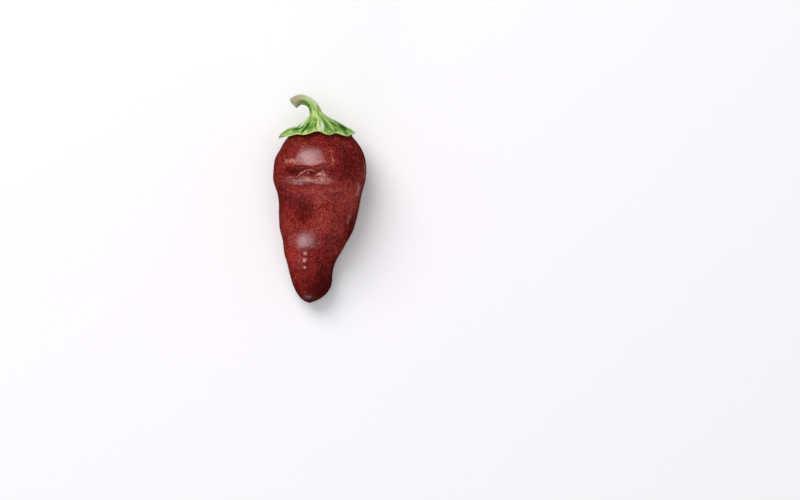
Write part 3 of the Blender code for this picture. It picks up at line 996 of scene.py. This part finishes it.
def hat_rows(share, turn):
    """Rows of the hat: square to the stem where they leave it, and level further out."""
    share, turn = np.broadcast_arrays(share[:, None], turn[None])
    start, across, up, _ = stem_frame(np.array(0.0))
    level = fade_in("level", share)[..., None]
    across = unit(across * (1 - level) + np.array([1.0, 0.0, 0.0]) * level)
    lean = start[0] + (HAT_MIDDLE - start[0]) * fade_in("lean", share)
    radius, height = hat_point(share, turn)
    middle = TOP + np.stack([lean, height, np.zeros_like(lean)], axis=-1)
    return middle + round_stem(across, up, turn) * radius[..., None]


def under_rows(share, turn):
    """Rows of the underside: it lies on the pod's dome, and its brim stands clear."""
    share, turn = np.broadcast_arrays(share[:, None], turn[None])
    radius = edge_at(turn)[0] * share
    above = solve(lambda where: hat_point(where, turn)[0] < radius, 0.0, 1.0, share.shape)
    thickness = CROWN_THICKNESS + (EDGE_THICKNESS - CROWN_THICKNESS) * fade_in("brim", share)
    place = from_middle(radius, np.zeros_like(radius), turn) - ZERO
    dome = HAT_GAP - dome_below(place[..., 0], place[..., 2])
    return from_middle(radius, np.maximum(hat_point(above, turn)[1] - thickness, dome), turn)


def calyx_grid():
    """The calyx and stem as rows of points: the cut, the stem, the hat, its rim and its underside."""
    turn = full_turn(CALYX_COLUMNS)
    stem_share = 1 - np.arange(STEM_ROWS) / STEM_ROWS
    centre, across, up, radius = stem_frame(stem_share)
    ridges = 1 + STEM_RIDGE_SHARE * fade_in("stem", stem_share)[:, None] * np.cos(STEM_RIDGES * turn)
    outwards = round_stem(across[:, None], up[:, None], turn[None])
    stem = TOP + centre[:, None] + outwards * (radius[:, None] * ridges)[..., None]
    end = stem[0].mean(axis=0)
    ahead = unit(end - stem[1].mean(axis=0))
    bevel = np.radians(np.arange(*BEVEL_ROWS))
    face = np.linspace(0.0, CUT_FACE, FACE_ROWS, endpoint=False)
    cut_share = np.concatenate([face, 1 - CUT_ROUNDING * (1 - np.sin(bevel))])
    cut_out = CUT_BEVEL * np.concatenate([np.ones(FACE_ROWS), np.cos(bevel)])
    cut = end + (stem[0] - end) * cut_share[:, None, None] + ahead * cut_out[:, None, None]
    hat_share = np.linspace(0, EDGE_ROUNDING, HAT_ROWS)
    hat = hat_rows(hat_share, turn)
    under_share = EDGE_ROUNDING * (1 - np.arange(UNDER_ROWS + 1) / UNDER_ROWS)
    under = under_rows(under_share, turn)
    reach, height = edge_at(turn)
    rim = from_middle(reach, height - EDGE_THICKNESS / 2, turn)
    sweep = np.linspace(0, pi, RIM_ROWS + 2)[1:-1, None, None]
    middle = (hat[-1] + under[0]) / 2
    rim = middle + (hat[-1] - middle) * np.cos(sweep) + (rim - middle) * np.sin(sweep)
    grid = np.concatenate([cut, stem, hat, rim, under])
    counts = (len(cut), len(stem), len(hat), len(rim), len(under))
    return grid, turn, counts, stem_share, hat_share


def hat_ribs(share, turn):
    """How strong the ribs are at rows of the hat."""
    radius = hat_point(share[:, None], turn[None])[0]
    rib = np.zeros_like(radius)
    for tooth, strength in zip(HAT_EDGE[::2, 0], RIB_STRENGTHS):
        rib += strength * bell(turned(turn, radians(tooth)) * radius, RIB_HALF_WIDTH)
    for notch in HAT_EDGE[1::2, 0]:
        rib += NOTCH_RIB_STRENGTH * bell(turned(turn, radians(notch)) * radius, NOTCH_RIB_HALF_WIDTH)
    return rib


def calyx_marks(grid, turn, counts, stem_share, hat_share, rib_height):
    """Rise and tones of the calyx and stem, with painted highlights and painted shade."""
    ends = np.cumsum(counts)
    cut, stem, hat, rim, under = (slice(end - count, end) for count, end in zip(counts, ends))
    growth = slice(stem.start, hat.stop)
    stem_share = stem_share[:, None]
    marks = {name: np.zeros(grid.shape[:2]) for name in ("rise",) + CALYX_TONES}
    rise = marks["rise"]
    ribbed = (fade_in("rib start", hat_share) * fade_out("rib end", hat_share))[:, None]
    rib = hat_ribs(hat_share, turn) * ribbed
    hat_share = hat_share[:, None]
    striation = sum(np.cos(count * turn + start) for count, start in STEM_STRIATION)
    rise[stem] = STRIATION_RISE * striation * fade_in("striation", stem_share)
    rise[hat] = rib_height * rib + STRIATION_RISE * np.cos(HAT_STRIATION * turn) * ribbed
    outer = fade_in("outer", np.cos(turn))
    hollow = fade_in("hollow", -np.cos(turn)) * fade_in("hollow side", stem_share)
    paler = fade_in("bloom start", stem_share) * (1 - HIGHLIGHT_AND_BLOOM_FADING * fade_in("bloom end", stem_share))
    least, more = MAUVE_OF_STEM
    # Painted highlight on the stem's outer side, in lime and bloom colour, and painted shade on its hollow
    # side.
    marks["lime"][stem] = LIME_OF_STEM + (outer - LIME_OF_STEM) * fade_in("stem", stem_share)
    marks["furrow"][stem] = PAINTED_SHADE_OF_STEM * hollow
    marks["bloom"][stem] = STEM_HIGHLIGHT_AND_BLOOM * outer**2 * paler
    marks["mauve"][stem] = fade_in("mauve", stem_share) * (least + more * outer)
    marks["lime"][hat] = LIME_OF_RIBS * rib + LIME_OF_CROWN * fade_out("crown", hat_share)
    marks["lime"][hat] += LIME_OF_BRIM * fade_in("pale brim", hat_share)
    marks["margin"][hat] = fade_in("margin", hat_share)
    marks["margin"][rim] = 1.0
    marks["margin"][under] = MARGIN_OF_UNDERSIDE
    half_width, less = LONGEST_TOOTH
    least, more = MARGIN_UNEVENNESS
    marks["margin"] *= 1 - less * bell(turn - pi, half_width)
    marks["margin"] *= least + more * waves(grid, *MARGIN_WAVES)
    out = np.linalg.norm(grid[cut] - grid[0, 0], axis=-1) / STEM_ROUTE[-1, 3]
    marks["furrow"][cut] = sum(strength * bell(out - at, half) for at, half, strength in VESSELS)
    marks["bloom"][cut] = BLOOM_OF_PITH * fade_out("pith", out)
    marks["mauve"][cut] = MAUVE_OF_BARK * fade_in("bark", out)
    marks["cut"][cut] = fade_out("cut", out)
    spots = wavering(in_drawing(grid), grid, CALYX_WAVERS)
    upper = np.zeros(grid.shape[:2])
    upper[growth] = fade_in("upper half", grid[growth, :, 2])
    for i, (half_width, height, lime, furrow, route) in enumerate(CALYX_LINES):
        near, gap, thinning = beside(spots, route, LINE_REACH * half_width)
        mask = bell(gap, half_width) * thinning * upper[near]
        rise[near] += height * mask
        # The first ribs are painted whitish as painted highlights, and the dark strokes are painted shade.
        marks["bloom" if i < PAINTED_HIGHLIGHT_RIBS else "lime"][near] += lime * mask
        marks["furrow"][near] += furrow * mask
    # A painted highlight in the hat's middle.
    centre, halves, strength = PAINTED_HIGHLIGHT_SPOT
    marks["bloom"] += strength * patch_mask(spots, centre, halves) * upper
    return marks


class PEPPER_OT_calyx_and_stem(bpy.types.Operator):
    """Build the toothed calyx and the hooked stem in one growth."""

    bl_idname = "pepper.calyx_and_stem"
    bl_label = "Calyx and stem"
    bl_options = {"REGISTER", "UNDO"}

    def execute(self, context):
        settings = context.scene.pepper_calyx
        grid, turn, counts, stem_share, hat_share = calyx_grid()
        marks = calyx_marks(grid, turn, counts, stem_share, hat_share, settings.rib / MM)
        wall = grid + normals(grid) * marks.pop("rise")[..., None]
        middle = grid.mean(axis=1)
        run = np.cumsum(np.linalg.norm(np.diff(middle, axis=0, prepend=middle[:1]), axis=1))
        marks["lengthwise"] = np.stack(
            np.broadcast_arrays(np.cos(turn), np.sin(turn), run[:, None]), axis=2
        )
        calyx = skin("calyx_and_stem_growth", wall, marks)
        paint_calyx(calyx, settings)
        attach(calyx, "root")
        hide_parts("calyx_and_stem")
        return {"FINISHED"}


def paint_calyx(calyx, settings):
    """Fresh green calyx and stem: matt, finely ribbed plant tissue with a paler, drier edge, and painted
    highlights and painted shade in its tints.
    """
    tree = new_material(calyx, "fresh_calyx_tissue")
    place = node(tree, "TexCoord").outputs["Object"]
    marks = read_marks(tree, CALYX_TONES)
    # The streaks and the mottling, round their middle values, shift every tint a little.
    streaks = -sum(weight for _, _, weight in CALYX_STREAKS) / 2
    for round_it, along, weight in CALYX_STREAKS:
        one = drawn_out(tree, round_it, along)
        streaks = node(tree, "Math", {0: one, 1: weight, 2: streaks}, operation="MULTIPLY_ADD")
    width, detail, weight = CALYX_MOTTLING
    spread = {"Vector": place, "Scale": 1 / (width * MM), "Detail": detail}
    mottling = node(tree, "TexNoise", spread)
    patchy = node(tree, "Math", {0: mottling, 1: weight, 2: -weight / 2}, operation="MULTIPLY_ADD")
    uneven = node(tree, "Math", {0: streaks, 1: patchy}, operation="ADD")
    colour = settings.green[:]
    for tone, tint, strength, everywhere in CALYX_TINTS:
        share = node(tree, "Math", {0: marks[tone], 1: strength}, operation="MULTIPLY")
        if everywhere:
            share = {0: uneven, 1: everywhere, 2: share}
            share = node(tree, "Math", share, operation="MULTIPLY_ADD")
        mixed = {"Factor": share, MIX_UNDER: colour, MIX_OVER: getattr(settings, tint)[:]}
        colour = node(tree, "Mix", mixed, data_type="RGBA")
    relief = {"Strength": BUMP_STRENGTH, "Distance": STREAK_DEPTH * MM, "Height": streaks}
    shader = node(
        tree,
        "BsdfPrincipled",
        {
            "Base Color": colour,
            "Roughness": TISSUE_ROUGHNESS,
            "IOR": TISSUE_IOR,
            "Specular IOR Level": TISSUE_SPECULAR,
            "Normal": node(tree, "Bump", relief),
        },
    )
    node(tree, "OutputMaterial", {"Surface": shader})


def add_soft_light(name, power):
    direction, long_side, distance, size, colour, mirrored = LIGHTS[name]
    towards = Vector(direction).normalized()
    along = Vector(long_side)
    along = (along - towards * along.dot(towards)).normalized()
    bpy.ops.object.light_add(type="AREA", location=(Vector(LIGHT_AIM) + towards * distance) * MM)
    light = bpy.context.object
    light.name = name
    light.rotation_euler = Matrix((along, towards.cross(along), towards)).transposed().to_euler()
    light.data.shape = "ELLIPSE"
    light.data.size, light.data.size_y = (side * MM for side in size)
    light.data.energy = power
    light.data.color = linear(colour)[:3]
    light.visible_camera = False
    light.visible_glossy = mirrored


class PEPPER_OT_stage(bpy.types.Operator):
    """Set up the floor, the lights and the camera."""

    bl_idname = "pepper.stage"
    bl_label = "Stage"
    bl_options = {"REGISTER", "UNDO"}

    def execute(self, context):
        settings = context.scene.pepper_stage
        scene = context.scene
        scene.view_settings.view_transform = "Standard"
        bpy.ops.object.select_all(action="DESELECT")
        bpy.ops.mesh.primitive_plane_add(size=FLOOR_WIDTH * MM, location=(0, 0, 0))
        floor = context.object
        floor.name = "floor"
        tree = new_material(floor, "matt_floor_paint")
        paint = {"Base Color": settings.floor[:], "Roughness": FLOOR_ROUGHNESS, "IOR": FLOOR_IOR}
        shader = node(tree, "BsdfPrincipled", paint)
        node(tree, "OutputMaterial", {"Surface": shader})
        floor.visible_glossy = False
        for name in LIGHTS:
            add_soft_light(name, getattr(settings, name))
        world = bpy.data.worlds.new("room")
        world.use_nodes = True
        tree = world.node_tree
        tree.nodes.clear()
        even = node(tree, "Background", {"Color": linear(ROOM_COLOUR), "Strength": settings.room})
        node(tree, "OutputWorld", {"Surface": even})
        world.cycles_visibility.glossy = False
        scene.world = world
        bpy.ops.object.camera_add(location=Vector(CAMERA_PLACE) * MM, rotation=(0, 0, 0))
        camera = context.object
        camera.name = "camera"
        camera.data.lens = CAMERA_LENS
        camera.data.clip_end = CAMERA_REACH * MM
        scene.camera = camera
        return {"FINISHED"}


class PEPPER_PT_panel(bpy.types.Panel):
    """Lists the pieces of the pepper and its stage, with their sizes and colours."""

    bl_idname = "PEPPER_PT_panel"
    bl_label = "Sweet chocolate pepper"
    bl_space_type = "VIEW_3D"
    bl_region_type = "UI"
    bl_category = "Pepper"

    def draw(self, context):
        for name, (_, operator) in PIECES.items():
            box = self.layout.box()
            settings = getattr(context.scene, name)
            for value in settings.__annotations__:
                box.prop(settings, value)
            box.operator(operator.bl_idname)


# The settings and the operator of each piece, and of the stage.
PIECES = {
    "pepper_pod": (PepperPodSettings, PEPPER_OT_pod),
    "pepper_calyx": (PepperCalyxSettings, PEPPER_OT_calyx_and_stem),
    "pepper_stage": (PepperStageSettings, PEPPER_OT_stage),
}


def register():
    for name, (group, operator) in PIECES.items():
        bpy.utils.register_class(group)
        setattr(bpy.types.Scene, name, bpy.props.PointerProperty(type=group))
        bpy.utils.register_class(operator)
    bpy.utils.register_class(PEPPER_PT_panel)


def unregister():
    bpy.utils.unregister_class(PEPPER_PT_panel)
    for name, (group, operator) in PIECES.items():
        bpy.utils.unregister_class(operator)
        delattr(bpy.types.Scene, name)
        bpy.utils.unregister_class(group)


def main():
    register()
    bpy.ops.pepper.pod()
    bpy.ops.pepper.calyx_and_stem()
    bpy.ops.pepper.stage()


if __name__ == "__main__":
    main()
